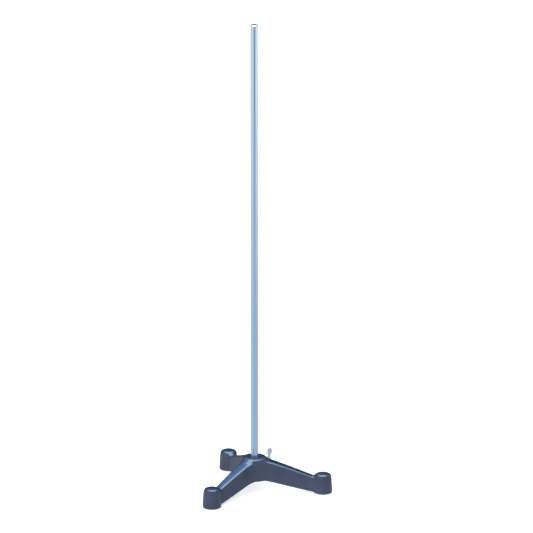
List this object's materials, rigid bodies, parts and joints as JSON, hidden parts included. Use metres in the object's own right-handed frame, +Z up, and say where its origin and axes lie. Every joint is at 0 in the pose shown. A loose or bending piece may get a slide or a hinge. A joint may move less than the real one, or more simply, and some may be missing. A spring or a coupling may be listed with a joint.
{
  "type": "retort stand",
  "caption": "Retort stand: a tall round rod set in the hub of a three-legged cast base and clamped by a wing screw.",
  "frame": {"origin": "on the bench, under the rod's axis, at the centre of the circle through the three feet", "axes": "+Z up along the rod; +X along one leg; the wing screw points out at 60 degrees from +X, between that leg and the next"},
  "size_m": [0.1959, 0.2214, 0.7693],
  "materials": {
    "enamelled_casting": "glossy slate-blue stoving enamel",
    "rod_steel": "bright plated",
    "screw_steel": "zinc plated, satin",
    "brass": "turned",
    "pad_rubber": "matte"
  },
  "bodies": {
    "base": {"base_casting": "enamelled_casting", "foot_pad_right": "pad_rubber", "foot_pad_rear": "pad_rubber", "foot_pad_front": "pad_rubber"},
    "rod": {"support_rod": "rod_steel"},
    "clamp_tip": {"brass_tip": "brass"},
    "clamp_screw": {"wing_screw": "screw_steel"}
  },
  "joints": [
    {"name": "rod_lift", "type": "slide", "parent": "base", "child": "rod", "axis": [0, 0, 1], "range_m": [0, 0.036]},
    {"name": "screw_travel", "type": "slide", "parent": "base", "child": "clamp_tip", "axis": [0.5, 0.866, 0], "range_m": [0, 0.0075]},
    {"name": "screw_turn", "type": "hinge", "parent": "clamp_tip", "child": "clamp_screw", "pos_m": [0, 0, 0.04], "axis": [0.5, 0.866, 0], "range_deg": [0, 2160]}
  ],
  "couplings": [
    {"joint": "screw_travel", "follows": "screw_turn", "m_per_rad": 0.00019894}
  ]
}
